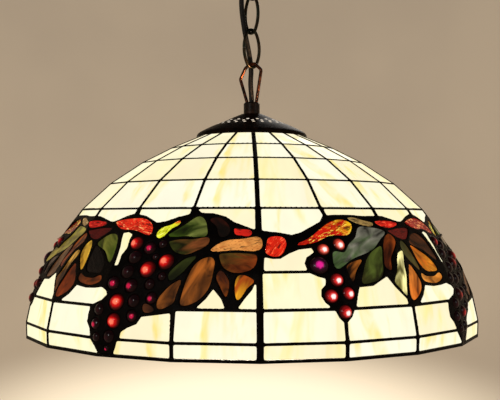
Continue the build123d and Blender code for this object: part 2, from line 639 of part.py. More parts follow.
with BuildPart() as canopy_loop:
    turn = math.radians(FIRST_PLANE - 90)
    loop_across = Vector(math.cos(turn), math.sin(turn), 0)
    loop_plane = Plane(origin=(0, 0, ring_z), x_dir=loop_across,
                       z_dir=loop_across.cross(Vector(0, 0, 1)))
    with BuildSketch(Plane(origin=loop_plane.origin + loop_across * LOOP_RING,
                           z_dir=(0, 0, 1))):
        Circle(CHAIN_WIRE / 2)
    revolve(axis=Axis(loop_plane.origin, loop_plane.z_dir))
    with BuildSketch(Plane.XY.offset(ring_z + LOOP_RING - 1)):
        Circle(STEM_RADIUS)
    extrude(amount=stem_top - ring_z - LOOP_RING + 1)
    with BuildSketch(Plane.XY.offset(stem_top - 7)):
        Circle(THREAD + FIT)
    extrude(amount=7, mode=Mode.SUBTRACT)
    with BuildSketch(Plane.XY.offset(ring_z + 2)):
        Circle(THREAD_BORE)
    extrude(amount=stem_top - ring_z, mode=Mode.SUBTRACT)
finish(canopy_loop, "canopy_loop")

# ------------------------------------------------------------- rod and cluster
CLUSTER_RADIUS = 27.0
CLUSTER_HIGH = 20.0
CLUSTER_TOP = 196.0        # height of the cluster's lid above the rim
ARM_RADIUS = 5.0           # tubes that carry the sockets
SOCKETS = 3
SOCKET_TILT = 38.0         # the sockets' slope below the horizontal
SOCKET_OUT = 31.0          # where a socket's mouthpiece starts, off the axis
SOCKET_RADIUS = 17.0
SOCKET_LONG = 44.0
SOCKET_WALL = 1.2
LINER_WALL = 1.4
BASE_RADIUS = 13.0         # screw base of a bulb
BASE_LONG = 25.0
BULB_RADIUS = 30.0
BULB_LONG = 78.0           # glass beyond the base

cluster_z = z_at(CLUSTER_TOP)
rod_top = collar_z + 4.5
rod_low = cluster_z - CLUSTER_HIGH - 9

with BuildPart() as rod:
    threaded_tube(rod_low, rod_top)
finish(rod, "hanging_rod")

with BuildPart() as rod_nuts:
    hex_nuts([spider_z - NUT_HIGH, spider_z + SPIDER_THICK, cluster_z])
finish(rod_nuts, "rod_nuts")

with BuildPart() as cluster:
    with BuildSketch(Plane.XY.offset(cluster_z - CLUSTER_HIGH)):
        Circle(CLUSTER_RADIUS)
    extrude(amount=CLUSTER_HIGH)
    fillet(cluster.edges().group_by(Axis.Z)[0], 3)
    with BuildSketch(Plane.XY.offset(cluster_z - CLUSTER_HIGH + 1.4)):
        Circle(CLUSTER_RADIUS - 1.4)
    extrude(amount=CLUSTER_HIGH, mode=Mode.SUBTRACT)
    with BuildSketch(Plane.XY.offset(cluster_z - CLUSTER_HIGH)):
        Circle(THREAD + FIT)
    extrude(amount=2, mode=Mode.SUBTRACT)
    for number in range(SOCKETS):
        heading = math.radians(number * 360 / SOCKETS + 30)
        with BuildSketch(Plane(origin=(0, 0, cluster_z - CLUSTER_HIGH / 2),
                               z_dir=(math.cos(heading), math.sin(heading), 0))):
            Circle(ARM_RADIUS + FIT)
        extrude(amount=2 * CLUSTER_RADIUS, mode=Mode.SUBTRACT)
finish(cluster, "cluster_box")

with BuildPart() as cluster_lid:
    with BuildSketch(Plane.XY.offset(cluster_z - 1.2)):
        Circle(CLUSTER_RADIUS - 1.4 - FIT)
        Circle(THREAD + FIT, mode=Mode.SUBTRACT)
    extrude(amount=1.2)
finish(cluster_lid, "cluster_lid")

with BuildPart() as finial:
    with BuildSketch(Plane.XZ):
        with BuildLine():
            seat = cluster_z - CLUSTER_HIGH
            Polyline((0, seat - 20), (2, seat - 20))
            Spline((2, seat - 20), (4.6, seat - 16), (3.4, seat - 12.5), (8.5, seat - 7),
                   (9, seat - 2))
            Polyline((9, seat - 2), (9, seat), (THREAD + FIT, seat),
                     (THREAD + FIT, rod_low - 1), (0, rod_low - 1), (0, seat - 20))
        make_face()
    revolve(axis=Axis.Z)
finish(finial, "finial")


def socket_plane(number, along):
    """The plane square to a socket, at a distance along it from its arm's foot."""
    heading = math.radians(number * 360 / SOCKETS + 30)
    tilt = math.radians(SOCKET_TILT)
    out = Vector(math.cos(heading) * math.cos(tilt), math.sin(heading) * math.cos(tilt),
                 -math.sin(tilt))
    foot = Vector(math.cos(heading), math.sin(heading), 0) * SOCKET_OUT \
        + Vector(0, 0, cluster_z - CLUSTER_HIGH / 2)
    return Plane(origin=foot + out * along, z_dir=out)


def turned(number, along, line):
    """Adds a body turned about a socket's axis: line is (radius, along) points."""
    plane = socket_plane(number, 0)
    flat = Plane(origin=plane.origin, x_dir=plane.x_dir, z_dir=-plane.y_dir)
    with BuildSketch(flat) as section:
        with BuildLine():
            Polyline(*[(r, a + along) for r, a in line], close=True)
        make_face()
    revolve(section.sketch, axis=Axis(plane.origin, plane.z_dir))


NECK_GAP = 9.0             # from the arm's foot to the socket's cup
with BuildPart() as arms:
    for number in range(SOCKETS):
        heading = math.radians(number * 360 / SOCKETS + 30)
        mouth = socket_plane(number, NECK_GAP)
        root_point = Vector(math.cos(heading), math.sin(heading), 0) * (CLUSTER_RADIUS - 1.2) \
            + Vector(0, 0, cluster_z - CLUSTER_HIGH / 2)
        with BuildLine() as arm_path:
            FilletPolyline(root_point, socket_plane(number, 0).origin, mouth.origin,
                           radius=6)
        with BuildSketch(Plane(origin=arm_path.line @ 0, z_dir=arm_path.line % 0)):
            Circle(ARM_RADIUS)
            Circle(ARM_RADIUS - 1.2, mode=Mode.SUBTRACT)
        sweep()
finish(arms, "socket_arms")

with BuildPart() as cups:
    for number in range(SOCKETS):
        turned(number, NECK_GAP, [
            (3.8, 0), (8, 0), (SOCKET_RADIUS, 9), (SOCKET_RADIUS, SOCKET_LONG),
            (SOCKET_RADIUS - SOCKET_WALL, SOCKET_LONG), (SOCKET_RADIUS - SOCKET_WALL, 9.6),
            (7.4, SOCKET_WALL), (3.8, SOCKET_WALL)])
finish(cups, "socket_shells")

LINER_RADIUS = SOCKET_RADIUS - SOCKET_WALL - FIT
SCREW_SHELL = BASE_RADIUS + 0.3
with BuildPart() as liners:
    for number in range(SOCKETS):
        turned(number, NECK_GAP, [
            (LINER_RADIUS, 12), (LINER_RADIUS, SOCKET_LONG - 1),
            (LINER_RADIUS - LINER_WALL, SOCKET_LONG - 1), (LINER_RADIUS - LINER_WALL, 12)])
finish(liners, "socket_liners")

with BuildPart() as screw_shells:
    for number in range(SOCKETS):
        turned(number, NECK_GAP, [
            (0, 13), (SCREW_SHELL + 0.6, 13), (SCREW_SHELL + 0.6, SOCKET_LONG - 4),
            (SCREW_SHELL, SOCKET_LONG - 4), (SCREW_SHELL, 14.2), (0, 14.2)])
finish(screw_shells, "socket_contacts")

base_at = NECK_GAP + SOCKET_LONG - 2 - BASE_LONG
with BuildPart() as bulb_bases:
    for number in range(SOCKETS):
        turned(number, base_at, [
            (0, 0), (4, 0), (6, 2.5), (BASE_RADIUS, 6), (BASE_RADIUS, BASE_LONG),
            (0, BASE_LONG)])
finish(bulb_bases, "bulb_bases")

with BuildPart() as bulbs:
    for number in range(SOCKETS):
        plane = socket_plane(number, base_at + BASE_LONG)
        flat = Plane(origin=plane.origin, x_dir=plane.x_dir, z_dir=-plane.y_dir)
        with BuildSketch(flat) as section:
            with BuildLine():
                centre = BULB_LONG - BULB_RADIUS
                Line((0, 0), (BASE_RADIUS - 0.4, 0))
                Spline((BASE_RADIUS - 0.4, 0), (BASE_RADIUS + 1, 8),
                       (BULB_RADIUS * 0.8, centre - BULB_RADIUS * 0.6),
                       tangents=((0, 1), (0.6, 0.8)))
                ThreePointArc((BULB_RADIUS * 0.8, centre - BULB_RADIUS * 0.6),
                              (BULB_RADIUS * 0.8, centre + BULB_RADIUS * 0.6),
                              (0, BULB_LONG))
                Line((0, BULB_LONG), (0, 0))
            make_face()
        revolve(section.sketch, axis=Axis(plane.origin, plane.z_dir))
finish(bulbs, "bulbs")

# ------------------------------------------------------------------------- cord
# From the cluster up the rod and out of the collar, round each crossing of the
# chain and up through the canopy loop. Heights are above the rim.
CORD_ROUTE = [(0, 0, 462), (0, 0, 444), (-8.4, 0.5, 427), (-11, 0.5, 404),
              (-12.6, 0.2, 376), (-8.2, 0.9, 345), (-3.4, 5.2, 324), (0, 8.2, 303),
              (-1.5, 4, 285), (0, 0, 267), (0, 0, 249)]
CORD_BEND = 0.45           # share of the shorter run that a bend takes up

route = [Vector(x, y, z_at(h)) for x, y, h in CORD_ROUTE]
radii = []
for before, at, after in zip(route, route[1:], route[2:]):
    turn = (at - before).get_angle(after - at)
    shorter = min((at - before).length, (after - at).length)
    radii.append(CORD_BEND * shorter / math.tan(math.radians(turn / 2)))
print("cord radii", [round(r, 1) for r in radii])
with BuildPart() as whole_cord:
    with BuildLine() as cord_path:
        FilletPolyline(*route, radius=radii)
    with BuildSketch(Plane(origin=cord_path.line @ 0, z_dir=cord_path.line % 0)):
        Circle(CORD / 2)
    sweep()
cord_section = math.pi * CORD ** 2 / 4
cord_length = sum(edge.length for edge in cord_path.edges())
print("cord length", round(cord_length, 1), "volume over section x length",
      round(whole_cord.part.volume / (cord_section * cord_length), 4))
cuts = [0, top_pivot, upper_pivot, middle_pivot, lower_pivot, -RIM_DROP]
for name, high, low in zip(("cord_in_canopy", "cord_at_upper_link", "cord_at_middle_link",
                            "cord_at_lower_link", "cord_in_bail"), cuts, cuts[1:]):
    with BuildPart() as stretch:
        with BuildSketch(Plane.XY.offset(low)):
            Rectangle(80, 80)
        extrude(amount=high - low)
        add(whole_cord.part, mode=Mode.INTERSECT)
    finish(stretch, name)
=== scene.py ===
"""Looks of the pool table lamp: leaded glass lit from inside, dark bronze chain.

Metres, in the frame of the CAD model: the origin is the middle of the canopy's
top face, +Z is up, and the first seam of the shade faces -Y.
"""
import json
import math
import random

import bpy
import numpy as np
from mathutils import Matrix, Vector


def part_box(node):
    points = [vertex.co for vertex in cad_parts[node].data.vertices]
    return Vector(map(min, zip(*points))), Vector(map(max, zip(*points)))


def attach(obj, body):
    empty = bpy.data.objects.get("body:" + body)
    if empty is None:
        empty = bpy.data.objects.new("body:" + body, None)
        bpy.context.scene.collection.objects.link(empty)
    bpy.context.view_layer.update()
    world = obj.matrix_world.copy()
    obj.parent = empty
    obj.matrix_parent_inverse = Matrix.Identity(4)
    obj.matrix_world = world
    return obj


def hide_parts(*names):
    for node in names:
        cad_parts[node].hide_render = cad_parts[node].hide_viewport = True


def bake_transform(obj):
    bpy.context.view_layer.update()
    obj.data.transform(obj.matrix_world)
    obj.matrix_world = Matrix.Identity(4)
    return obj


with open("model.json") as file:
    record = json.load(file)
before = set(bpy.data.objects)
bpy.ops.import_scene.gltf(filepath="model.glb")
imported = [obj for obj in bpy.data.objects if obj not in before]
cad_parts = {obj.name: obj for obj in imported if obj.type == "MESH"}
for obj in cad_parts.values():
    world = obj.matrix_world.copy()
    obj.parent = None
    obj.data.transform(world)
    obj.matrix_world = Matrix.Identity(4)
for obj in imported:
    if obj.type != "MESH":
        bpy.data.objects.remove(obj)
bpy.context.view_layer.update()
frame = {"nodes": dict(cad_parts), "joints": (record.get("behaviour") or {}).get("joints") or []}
NODES = frame["nodes"]
MM = 0.001
RIM_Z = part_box("rim_channel")[1][2]        # the shade's rim
CAP_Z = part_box("vented_cap")[1][2]
CAP_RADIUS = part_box("vented_cap")[1][0]
PIVOTS = {joint["name"]: joint["pos_m"][2] for joint in frame["joints"]}
SECTION_TURN = 90                          # one section of the border, in degrees


# ------------------------------------------------------------------ node recipes
def linear(colour):
    """A hex colour as seen on screen, as linear RGBA."""
    parts = [int(colour[i:i + 2], 16) / 255 for i in (0, 2, 4)]
    return (*[c / 12.92 if c <= 0.04045 else ((c + 0.055) / 1.055) ** 2.4 for c in parts], 1)


class Recipe:
    """A material, built one shader node at a time."""

    def __init__(self, name, **sockets):
        self.material = bpy.data.materials.new(name)
        self.material.use_nodes = True
        self.tree = self.material.node_tree
        self.surface = self.tree.nodes["Principled BSDF"]
        self.feed(self.surface, sockets)

    def feed(self, node, sockets):
        """Sets or links a node's inputs. An underscore in a name stands for a space."""
        for key, value in sockets.items():
            socket = node.inputs[key if isinstance(key, int) else key.replace("_", " ")]
            if isinstance(value, bpy.types.NodeSocket):
                self.tree.links.new(value, socket)
            else:
                socket.default_value = value

    def add(self, kind, settings=None, **sockets):
        """Adds a node and returns it."""
        node = self.tree.nodes.new("ShaderNode" + kind)
        for key, value in (settings or {}).items():
            setattr(node, key, value)
        self.feed(node, sockets)
        return node

    def attribute(self, name, output="Color"):
        """What the mesh holds under a name."""
        return self.add("Attribute", {"attribute_name": name}).outputs[output]

    def position(self):
        """Where the point is on the object, in metres."""
        return self.add("TexCoord").outputs["Object"]

    def noise(self, vector, scale, detail=3.0, roughness=0.5, distortion=0.0):
        """Cloudy noise about 0.5."""
        return self.add("TexNoise", None, Vector=vector, Scale=scale, Detail=detail,
                        Roughness=roughness, Distortion=distortion).outputs["Fac"]

    def stretch(self, vector, scale):
        """A vector with each part multiplied."""
        node = self.add("VectorMath", {"operation": "MULTIPLY"})
        self.feed(node, {0: vector, 1: scale})
        return node.outputs[0]

    def math(self, operation, a, b=0.0):
        """One sum on two numbers."""
        node = self.add("Math", {"operation": operation})
        self.feed(node, {0: a, 1: b})
        return node.outputs[0]

    def ramp(self, value, low, high):
        """0 below low, 1 above high, and a smooth step between them."""
        node = self.add("MapRange", {"interpolation_type": "SMOOTHSTEP"}, Value=value)
        self.feed(node, {"From Min": low, "From Max": high})
        return node.outputs[0]

    def mix(self, share, a, b, blend="MIX"):
        """Colour a turning into colour b."""
        node = self.add("Mix", {"data_type": "RGBA", "blend_type": blend})
        self.feed(node, {0: share, 6: a, 7: b})
        return node.outputs[2]

    def bump(self, height, strength, distance):
        """Gives the surface relief, the distance being its height in metres."""
        relief = self.add("Bump", None, Strength=strength, Distance=distance, Height=height)
        self.feed(self.surface, {"Normal": relief.outputs[0]})


def lit_glass(name, streaks, wisps, ripple, depth=(0.72, 1.2), share_span=(0.55, 1.35),
              pull=0.34, glints=None, glint_scale=1.0):
    """Glass with light behind it, its colour painted on as glow that stands in for the
    light shining through it. Its two tones and its place are on the mesh: place is along and across
    the piece in cm, and the piece's own number."""
    glass = Recipe(name, Roughness=0.2, IOR=1.18, Coat_Weight=0.05, Coat_Roughness=0.06)
    place = glass.attribute("place", "Vector")
    along = glass.attribute("along", "Fac")
    streak = glass.noise(glass.stretch(place, streaks), 1.0, 2.5, 0.5, 0.9)
    wisp = glass.noise(glass.stretch(place, wisps), 1.0, 3.0, 0.5, 0.7)
    share = glass.math("ADD", glass.math("MULTIPLY", along, pull),
                       glass.math("MULTIPLY", streak, 1.9))
    share = glass.ramp(share, *share_span)
    colour = glass.mix(share, glass.attribute("tone_low"), glass.attribute("tone_high"))
    shade = glass.add("MapRange", None, Value=wisp)
    glass.feed(shade, {"From Min": 0.3, "From Max": 0.7, "To Min": depth[0], "To Max": depth[1]})
    grey = glass.add("CombineColor")
    glass.feed(grey, {0: shade.outputs[0], 1: shade.outputs[0], 2: shade.outputs[0]})
    colour = glass.mix(1.0, colour, grey.outputs[0], "MULTIPLY")
    # painted highlight: bright glint specks where the noise is high; where it is low, the glass is
    # darkened
    if glints:
        cells = glass.noise(glass.stretch(place, glints), glint_scale, 2.0, 0.5, 1.1)
        colour = glass.mix(glass.ramp(cells, 0.57, 0.68), colour,
                           glass.attribute("tone_glint"))
        dark = glass.ramp(cells, 0.36, 0.44)
        colour = glass.mix(dark, glass.mix(0.78, colour, (0.01, 0.003, 0.002, 1)), colour)
    # the glass's whole colour is painted on as glow, in place of the bulbs' light passing through
    # it
    glass.feed(glass.surface, {"Emission Color": colour, "Emission Strength": 1.0,
                               "Base Color": glass.mix(0.88, colour, (0.01, 0.009, 0.008, 1))})
    glass.bump(glass.noise(glass.stretch(place, ripple), 1.0, 3.0), 0.35, 0.5 * MM)
    return glass.material


# a jewel's zones of painted light and shade, as where each starts and ends in units of its radius:
# its painted bright spot, the painted glow about it, and its painted dark rim
SPOT_EDGE = (0.2, 0.46)    # out from its bright spot
GLOW_EDGE = (0.42, 0.85)   # out from the same spot, where the glow dies away
SHADED_RIM_EDGE = (0.6, 0.92)    # out from its middle, where its dark edge begins
SPOT_WANDER = 0.5          # how uneven the bright spot's outline is


def jewel_glass(name, glow):
    """A pressed glass jewel, its light and shade painted on as glow: a painted bright spot where
    the light gathers low in its dome, a painted dark rim and painted glint streaks.
    """
    glass = Recipe(name, Roughness=0.06, IOR=1.2, Coat_Weight=0.06, Coat_Roughness=0.02)
    place = glass.attribute("place", "Vector")
    parts = glass.add("SeparateXYZ", None, Vector=place)
    flat = glass.stretch(place, (1, 1, 0))
    spot = glass.add("VectorMath", {"operation": "DISTANCE"})
    glass.feed(spot, {0: flat, 1: glass.attribute("spot", "Vector")})
    wander = glass.noise(place, 1.7, 3.0, 0.6, 0.6)
    far = glass.math("ADD", spot.outputs["Value"],
                     glass.math("MULTIPLY", glass.math("SUBTRACT", wander, 0.5), SPOT_WANDER))
    rim = glass.add("VectorMath", {"operation": "LENGTH"})
    glass.feed(rim, {0: flat})
    # painted highlight of the bright spot, then a painted glow about it that dies into the low tone
    colour = glass.mix(glass.ramp(far, *SPOT_EDGE), glass.attribute("tone_glint"),
                       glass.attribute("tone_high"))
    colour = glass.mix(glass.ramp(far, *GLOW_EDGE), colour, glass.attribute("tone_low"))
    # painted shade: a dark rim towards the jewel's edge
    colour = glass.mix(glass.ramp(rim.outputs["Value"], *SHADED_RIM_EDGE), colour,
                       glass.mix(0.85, glass.attribute("tone_low"), (0.002, 0.0, 0.0, 1)))
    # painted glint streaks, brighter towards the top of the dome
    glint_streaks = glass.ramp(glass.noise(glass.stretch(place, (3.4, 1.2, 1)), 1.3, 2.0, 0.5, 2.0),
                       0.56, 0.62)
    painted_glint = glass.math("MULTIPLY", glint_streaks, glass.ramp(parts.outputs[2], 0.2, 0.6))
    colour = glass.mix(glass.math("MULTIPLY", painted_glint, 0.3), colour,
                       glass.attribute("tone_high"))
    # the whole colour is painted on as glow
    glass.feed(glass.surface, {"Emission Color": colour, "Emission Strength": glow,
                               "Base Color": glass.mix(0.8, colour, (0.01, 0.003, 0.004, 1))})
    glass.bump(glass.noise(place, 2.2, 3.0), 0.2, 0.3 * MM)
    return glass.material


def worn_metal(name, dark, light, metallic=0.9, rough=(0.28, 0.55), grain=900.0,
               wear=(0.53, 0.6), relief=0.15, under=None, ior=1.5):
    """Patinated metal, rubbed bright at its edges. Its underside near the axis may have
    the bulbs' light painted on as glow, in a colour of its own."""
    metal = Recipe(name, Metallic=metallic, IOR=ior)
    place = metal.position()
    cloud = metal.noise(place, 160.0, 6.0, 0.62, 0.5)
    fine = metal.noise(place, grain, 3.0, 0.6)
    edge = metal.add("NewGeometry").outputs["Pointiness"]
    rub = metal.ramp(metal.math("ADD", edge, metal.math(
        "MULTIPLY", metal.math("SUBTRACT", cloud, 0.5), 0.16)), *wear)
    tone = metal.mix(metal.ramp(cloud, 0.35, 0.7), linear(dark),
                     metal.mix(0.22, linear(dark), linear(light)))
    tone = metal.mix(rub, tone, linear(light))
    # painted light: a glow of the bulbs' light on downward faces near the axis, such as inside the
    # cap's vents
    if under:
        facing = metal.add("SeparateXYZ", None,
                           Vector=metal.add("NewGeometry").outputs["Normal"])
        reach = metal.add("VectorMath", {"operation": "LENGTH"})
        metal.feed(reach, {0: metal.stretch(place, (1, 1, 0))})
        near = metal.math("LESS_THAN", reach.outputs["Value"], 0.9 * CAP_RADIUS)
        lit = metal.math("MULTIPLY", near, metal.ramp(facing.outputs[2], 0.35, -0.1))
        glow = metal.mix(cloud, linear(under), linear("ffffff"))
        metal.feed(metal.surface, {"Emission Color": metal.mix(lit, (0, 0, 0, 1), glow),
                                   "Emission Strength": 1.0})
    metal.feed(metal.surface, {"Base Color": tone})
    gloss = metal.add("MapRange", None, Value=fine)
    metal.feed(gloss, {"From Min": 0.3, "From Max": 0.7, "To Min": rough[0], "To Max": rough[1]})
    metal.feed(metal.surface, {"Roughness": gloss.outputs[0]})
    metal.bump(metal.math("ADD", fine, cloud), relief, 0.3 * MM)
    return metal.material


def bulb_glow():
    """A frosted bulb, its colour a little cloudy."""
    glass = Recipe("bulb_glow", Roughness=0.35, IOR=1.5, Coat_Weight=0.4)
    place = glass.position()
    cloud = glass.noise(place, 60.0, 3.0)
    colour = glass.mix(glass.ramp(cloud, 0.35, 0.65), linear("fff2d0"), linear("ffe2ae"))
    glass.feed(glass.surface, {"Base Color": colour, "Emission Color": colour,
                               "Emission Strength": 3.0})
    glass.bump(glass.noise(place, 1500.0), 0.1, 0.1 * MM)
    return glass.material


def cord_jacket():
    """Dull black flexible jacket with the faint twist of the wires inside it."""
    jacket = Recipe("cord_jacket", Roughness=0.55, IOR=1.3)
    place = jacket.attribute("place", "Vector")
    wave = jacket.add("TexWave", {"wave_type": "BANDS", "bands_direction": "DIAGONAL"},
                      Vector=place, Scale=1.0, Distortion=0.3, Detail=1.0)
    dust = jacket.noise(jacket.position(), 240.0, 5.0, 0.6)
    jacket.feed(jacket.surface, {"Base Color": jacket.mix(
        jacket.ramp(dust, 0.45, 0.75), linear("080707"), linear("1a1715"))})
    jacket.bump(jacket.math("ADD", wave.outputs["Fac"], dust), 0.3, 0.25 * MM)
    return jacket.material


def card_sleeve():
    """Grey-brown fibre sleeve inside a socket."""
    card = Recipe("card_sleeve", Roughness=0.85)
    fibre = card.noise(card.stretch(card.position(), (1, 1, 6)), 300.0, 6.0, 0.7)
    card.feed(card.surface, {"Base Color": card.mix(
        card.ramp(fibre, 0.3, 0.7), linear("5a4a3a"), linear("8a7860"))})
    card.bump(fibre, 0.3, 0.2 * MM)
    return card.material


def paint(material, *names):
    """Gives these CAD nodes a material of this script's."""
    for name in names:
        mesh = NODES[name].data
        mesh.materials.clear()
        mesh.materials.append(material)


# -------------------------------------------------------- tones of each glass piece
# (degrees from the seam within a section, height above the rim in mm): tones of the
# low and the high end in the section right of the first seam, then left of it
LEAF_TONES = {
    (26.4, 100): (("5c7048", "7c7a6e"), ("8a7a34", "8c8440")),
    (73.1, 116): (("40481f", "5a6230"), ("485a1e", "6e7440")),
    (49.5, 98): (("4a2c14", "5c361c"), ("5c6826", "707036")),
    (28.2, 79): (("3c3a1c", "56602e"), ("5a3a22", "7c5c3c")),
    (72.7, 100): (("3c401c", "5a3c20"), ("42461c", "80502e")),
    (35.6, 73): (("77702a", "f0e8ae"), ("6c4220", "c09a50")),
    (72.2, 79): (("22280f", "3a4020"), ("20260e", "363c1a")),
    (22.3, 77): (("3a200e", "96602a"), ("4a3a30", "6a564a")),
    (34.4, 93): (("5c2c14", "8a4a1e"), ("6a2c16", "8a5026")),
    (76.5, 69): (("6a4a24", "80502a"), ("7e5026", "a0642c")),
    (70.2, 54): (("5a3a1c", "6a4420"), ("6e441e", "8e5a28")),
    (85.4, 85): (("6a3a1c", "5c4220"), ("8c4a20", "5e4c22")),
    (82.1, 67): (("5a3216", "4a2812"), ("92541e", "4c2610")),
    (80.4, 116): (("30160a", "30160a"), ("22100a", "341208")),
    (65.8, 43): (("3a2412", "50301a"), ("3c2012", "5a3620")),
    (38.9, 63): (("b8681e", "c8803a"), ("8a441c", "6c3416")),
    (41.4, 89): (("6a5226", "4e4c2a"), ("c69a38", "d8b450")),
    (46.7, 83): (("d2902c", "b4691c"), ("1a0c06", "120806")),
    (47.1, 67): (("b8782c", "d0944a"), ("96501e", "5c3216")),
    (86.1, 62): (("a87424", "8a4c18"), ("eab036", "9c541c")),
}
TWIG_TONES = {
    (4.2, 99): (("e0240e", "c81c10"), ("c01c10", "a01410")),
    (19.0, 112): (("c41808", "f4c41e"), ("7a1a10", "a02c14")),
    (38.5, 119): (("c81c10", "d82a18"), ("b41610", "c01c14")),
    (42.2, 110): (("5c140e", "4a120c"), ("4a0e0a", "380a08")),
    (55.8, 117): (("8c1410", "a81a12"), ("e02c16", "c41a10")),
    (86.0, 112): (("a01810", "b01810"), ("c41c12", "d02418")),
    (29.7, 121): (("8e7240", "b89a58"), ("8a6a3c", "d8b478")),
    (66.1, 114): (("8a6a18", "a02c14"), ("eef02c", "d83214")),
    (85.8, 100): (("a8662c", "8a5226"), ("e0944a", "b86c30")),
}
# colours of the painted highlight specks in the twig glass
TWIG_GLINTS = {(4.2, 99): "ff6a3c", (19.0, 112): "fff05a", (55.8, 117): "ffae6a",
              (66.1, 114): "fbff7a", (38.5, 119): "ff5a3a"}
# jewels: (low tone, tone of the painted glow about the spot, the spot's painted highlight itself)
PALE_RED = ("a02a1c", "ee6450", "fff8f4")
RED = ("780a0c", "d82a28", "fff2ee")
DEEP_RED = ("5a0404", "c80c0c", "ff7a5c")
DIM_RED = ("140202", "4a0606", "a01418")
PLUM = ("0a0208", "30041c", "e0208c")
BLACK = ("030102", "080203", "1c0408")
BLACK_RED = ("040102", "24030a", "c01440")
JEWEL_TONES = {
    "grapes_red": {
        (15.7, 96): (PALE_RED, DIM_RED), (20.1, 100): (PALE_RED, DIM_RED),
        (17.4, 69): (RED, DIM_RED), (15.6, 54): (RED, DIM_RED),
        (19.6, 56): (RED, DIM_RED), (18.2, 41): (RED, DIM_RED),
        (58.3, 101): (DIM_RED, DEEP_RED), (68.1, 84): (DIM_RED, DEEP_RED),
        (63.7, 77): (DIM_RED, DEEP_RED), (57.6, 47): (DIM_RED, DEEP_RED),
        (57.6, 30): (DIM_RED, DEEP_RED),
    },
    "grapes_dark": {
        (13.9, 82): (PLUM, PLUM), (62.6, 96): (BLACK, BLACK_RED), (65.9, 101): (BLACK, BLACK),
        (59.2, 88): (BLACK, BLACK), (64.9, 89): (BLACK, BLACK), (58.6, 75): (BLACK, BLACK),
        (55.6, 64): (BLACK, BLACK_RED), (60.4, 62): (BLACK, BLACK_RED),
        (65.1, 64): (BLACK, BLACK), (67.9, 72): (BLACK, BLACK),
        (66.2, 52): (BLACK, BLACK_RED), (61.9, 49): (BLACK, BLACK),
        (53.4, 40): (BLACK, BLACK), (62, 36): (BLACK, BLACK_RED),
        (53, 27): (BLACK, BLACK_RED), (56.9, 16): (BLACK, BLACK),
        (53.8, 15): (BLACK, BLACK), (56.4, 6): (BLACK, BLACK_RED),
    },
}
CREAMS = [("fff9d2", "fdf2b8"), ("fffadc", "fff8cc"), ("fff4c8", "f8e49c"),
          ("fffbe2", "fff4c6"), ("fff3cc", "f4dc98"), ("fff8da", "fff0bc")]
AMBER_WISPS = ["f8e27c", "fbeca0", "fae88e", "fdf2b8"]


def solids_of(node):
    """The vertices of each separate solid in a node, as one array for each."""
    mesh = NODES[node].data
    places = {}
    spots = [places.setdefault(tuple(round(c, 6) for c in vertex.co), len(places))
             for vertex in mesh.vertices]
    leader = list(range(len(places)))

    def first(spot):
        while leader[spot] != spot:
            leader[spot] = leader[leader[spot]]
            spot = leader[spot]
        return spot

    for edge in mesh.edges:
        a, b = (first(spots[number]) for number in edge.vertices)
        leader[a] = b
    solids = {}
    for number, spot in enumerate(spots):
        solids.setdefault(first(spot), []).append(number)
    return [np.array(numbers) for numbers in solids.values()]


def around(point):
    """(section number, degrees from its seam, height above the rim in mm)."""
    turn = math.degrees(math.atan2(point[0], -point[1])) % 360
    return int(turn // SECTION_TURN), turn % SECTION_TURN, (point[2] - RIM_Z) / MM


def dome_axes(points, long_way):
    """A piece's middle, and unit vectors along, across and out of it. Along is
    up the dome, or the piece's own long way, rising."""
    middle = points.mean(axis=0)
    spread = points - middle
    _, _, ways = np.linalg.svd(spread, full_matrices=False)
    out = ways[2] * np.sign(ways[2] @ np.array([middle[0], middle[1], 0.05]))
    side = np.cross([0, 0, 1], out)
    side /= np.linalg.norm(side)
    up = np.cross(out, side)
    along = ways[0] if long_way else up
    along = along * np.sign(along @ up)
    return middle, along, np.cross(along, out), out


def write(mesh, name, kind, values):
    """Stores values on a mesh, one for each vertex."""
    layer = mesh.attributes.new(name, kind, "POINT")
    field = {"FLOAT": "value", "FLOAT_VECTOR": "vector", "FLOAT_COLOR": "color"}[kind]
    layer.data.foreach_set(field, np.asarray(values, np.float32).ravel())


def vertex_places(mesh):
    """A mesh's vertices as an array."""
    places = np.zeros(len(mesh.vertices) * 3, np.float32)
    mesh.vertices.foreach_get("co", places)
    return places.reshape(-1, 3).astype(float)


def write_tones(mesh, low, high, glint):
    """Stores the three tones of each vertex."""
    for name, tones in (("tone_low", low), ("tone_high", high), ("tone_glint", glint)):
        write(mesh, name, "FLOAT_COLOR", tones)


DEGREE_LENGTH = 3.6        # mm round the border for each degree
PATTERN_STEP = 7.3         # cm between the patterns of two pieces, so none repeats


def nearest(table, turn, height):
    """The entry of a table of tones for the piece nearest to a place."""
    return min(table, key=lambda key: math.hypot((key[0] - turn) * DEGREE_LENGTH,
                                                 key[1] - height))


def tint(node, tones_of, long_way=True):
    """Writes each piece's tones, place and number on a glass node's mesh."""
    mesh = NODES[node].data
    co = vertex_places(mesh)
    total = len(co)
    low, high, glint = (np.ones((total, 4)) for _ in range(3))
    place = np.zeros((total, 3))
    along = np.zeros(total)
    for number, numbers in enumerate(solids_of(node)):
        middle, lengthways, across, out = dome_axes(co[numbers], long_way)
        local = co[numbers] - middle
        reach = max(abs(local @ lengthways))
        low[numbers], high[numbers], glint[numbers] = tones_of(middle, number)
        place[numbers] = np.column_stack([local @ lengthways, local @ across,
                                          local @ out]) / (10 * MM)
        place[numbers] += (0, 0, PATTERN_STEP * number)
        along[numbers] = local @ lengthways / reach
    write_tones(mesh, low, high, glint)
    write(mesh, "place", "FLOAT_VECTOR", place)
    write(mesh, "along", "FLOAT", along)


def deeper(colour):
    """A colour with its strong parts kept and its weak parts lowered."""
    return (*[1.6 * part ** 1.32 for part in colour[:3]], 1)


